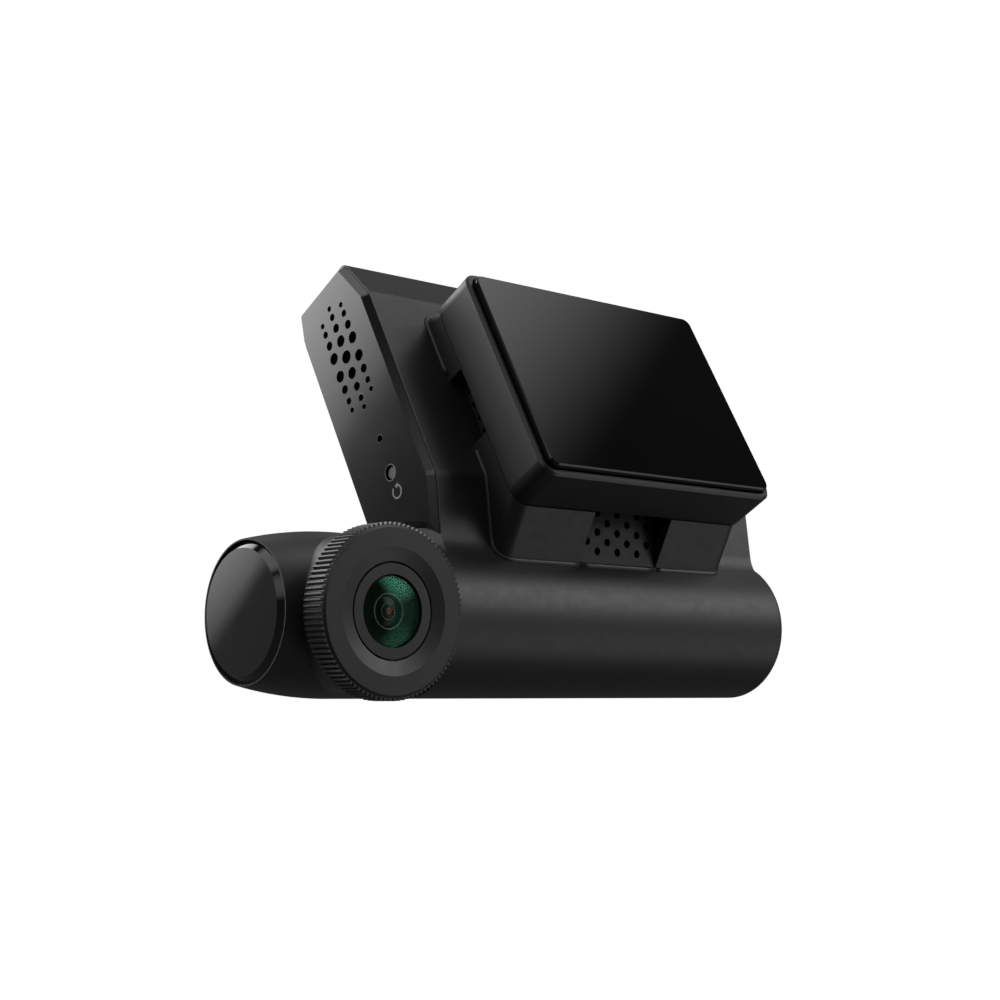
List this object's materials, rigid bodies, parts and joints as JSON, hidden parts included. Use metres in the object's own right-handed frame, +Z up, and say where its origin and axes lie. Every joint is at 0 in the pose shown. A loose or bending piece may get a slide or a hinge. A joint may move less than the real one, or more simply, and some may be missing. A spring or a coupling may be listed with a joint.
{
  "type": "dash camera",
  "caption": "Windscreen dash camera: leaning slab housing on a horizontal barrel, rear screen on a vented plinth, rotating camera head with knurled lens ring.",
  "frame": {"origin": "centre of the adhesive pad's outer face, which sticks to the windscreen", "axes": "+X along the barrel to its closed end, -Y into the cabin, +Z up; the lens axis points along -Y at rest"},
  "size_m": [0.096, 0.0497, 0.0657],
  "materials": {
    "housing_black": "fine matte texture",
    "grille_black": "matte",
    "piano_black": "high gloss",
    "screen_frame": "satin",
    "screen_glass": "polished, blacked out behind",
    "panel": "satin",
    "ribbon": "satin",
    "circuit_board": "solder mask",
    "sink_aluminium": "plain",
    "ceramic": "fired",
    "cone": "matte",
    "steel": "plated",
    "battery_wrap": "shrink wrap",
    "acetal": "natural",
    "seal_rubber": "matte",
    "pad_foam": "matte foam",
    "bracket_plastic": "fine texture",
    "ring_black": "satin",
    "lens_coated": "green coating",
    "lens_tube": "black anodised",
    "sensor": "gloss",
    "key_grey": "matte",
    "key_black": "gloss"
  },
  "bodies": {
    "bracket": {"windscreen_bracket": "bracket_plastic", "adhesive_pad": "pad_foam"},
    "housing": {"main_housing": "housing_black", "back_cover": "housing_black", "cover_screws": "steel", "left_side_plate": "piano_black", "right_side_plate": "piano_black", "display_plinth": "housing_black", "bottom_grille": "grille_black", "left_grille": "grille_black", "right_grille": "grille_black", "display_housing": "screen_frame", "display_glass": "screen_glass", "lcd_module": "panel", "display_back_plate": "screen_frame", "screen_ribbon": "ribbon", "main_board": "circuit_board", "board_chips": "panel", "heat_sink": "sink_aluminium", "positioning_antenna": "ceramic", "speaker_frame": "panel", "speaker_cone": "cone", "microphone": "panel", "usb_socket": "steel", "card_socket": "steel", "key_switches": "steel", "backup_battery": "battery_wrap", "battery_cradle": "acetal", "bearing_sleeve": "acetal"},
    "camera_head": {"head_shell": "housing_black", "head_end_cap": "piano_black", "hub_clip": "steel", "friction_seal": "seal_rubber", "lens_bezel": "ring_black", "lens_glass": "lens_coated", "lens_barrel": "lens_tube", "lens_elements": "lens_coated", "sensor_board": "circuit_board", "image_sensor": "sensor"},
    "lens_ring": {"lens_ring": "ring_black"},
    "reset_key": {"reset_button": "key_grey"},
    "power_key": {"power_button": "key_black"},
    "event_key": {"event_button": "key_black"},
    "memory_card": {"memory_card": "panel"}
  },
  "joints": [
    {"name": "housing_slide", "type": "slide", "parent": "bracket", "child": "housing", "axis": [1, 0, 0], "range_m": [0, 0.03]},
    {"name": "head_turn", "type": "hinge", "parent": "housing", "child": "camera_head", "pos_m": [-0.0484, -0.02389, -0.02443], "axis": [1, 0, 0], "range_deg": [-30, 210]},
    {"name": "lens_ring_turn", "type": "hinge", "parent": "camera_head", "child": "lens_ring", "pos_m": [-0.0484, -0.02389, -0.02443], "axis": [0, -1, 0], "range_deg": [-45, 45]},
    {"name": "reset_press", "type": "slide", "parent": "housing", "child": "reset_key", "axis": [1, 0, 0], "range_m": [0, 0.0004], "stiffness_N_per_m": 1000, "springref_m": -0.0003},
    {"name": "power_press", "type": "slide", "parent": "housing", "child": "power_key", "axis": [-1, 0, 0], "range_m": [0, 0.0004], "stiffness_N_per_m": 1000, "springref_m": -0.0003},
    {"name": "event_press", "type": "slide", "parent": "housing", "child": "event_key", "axis": [-1, 0, 0], "range_m": [0, 0.0004], "stiffness_N_per_m": 1000, "springref_m": -0.0003},
    {"name": "card_pull", "type": "slide", "parent": "housing", "child": "memory_card", "axis": [1, 0, 0], "range_m": [0, 0.012]}
  ]
}
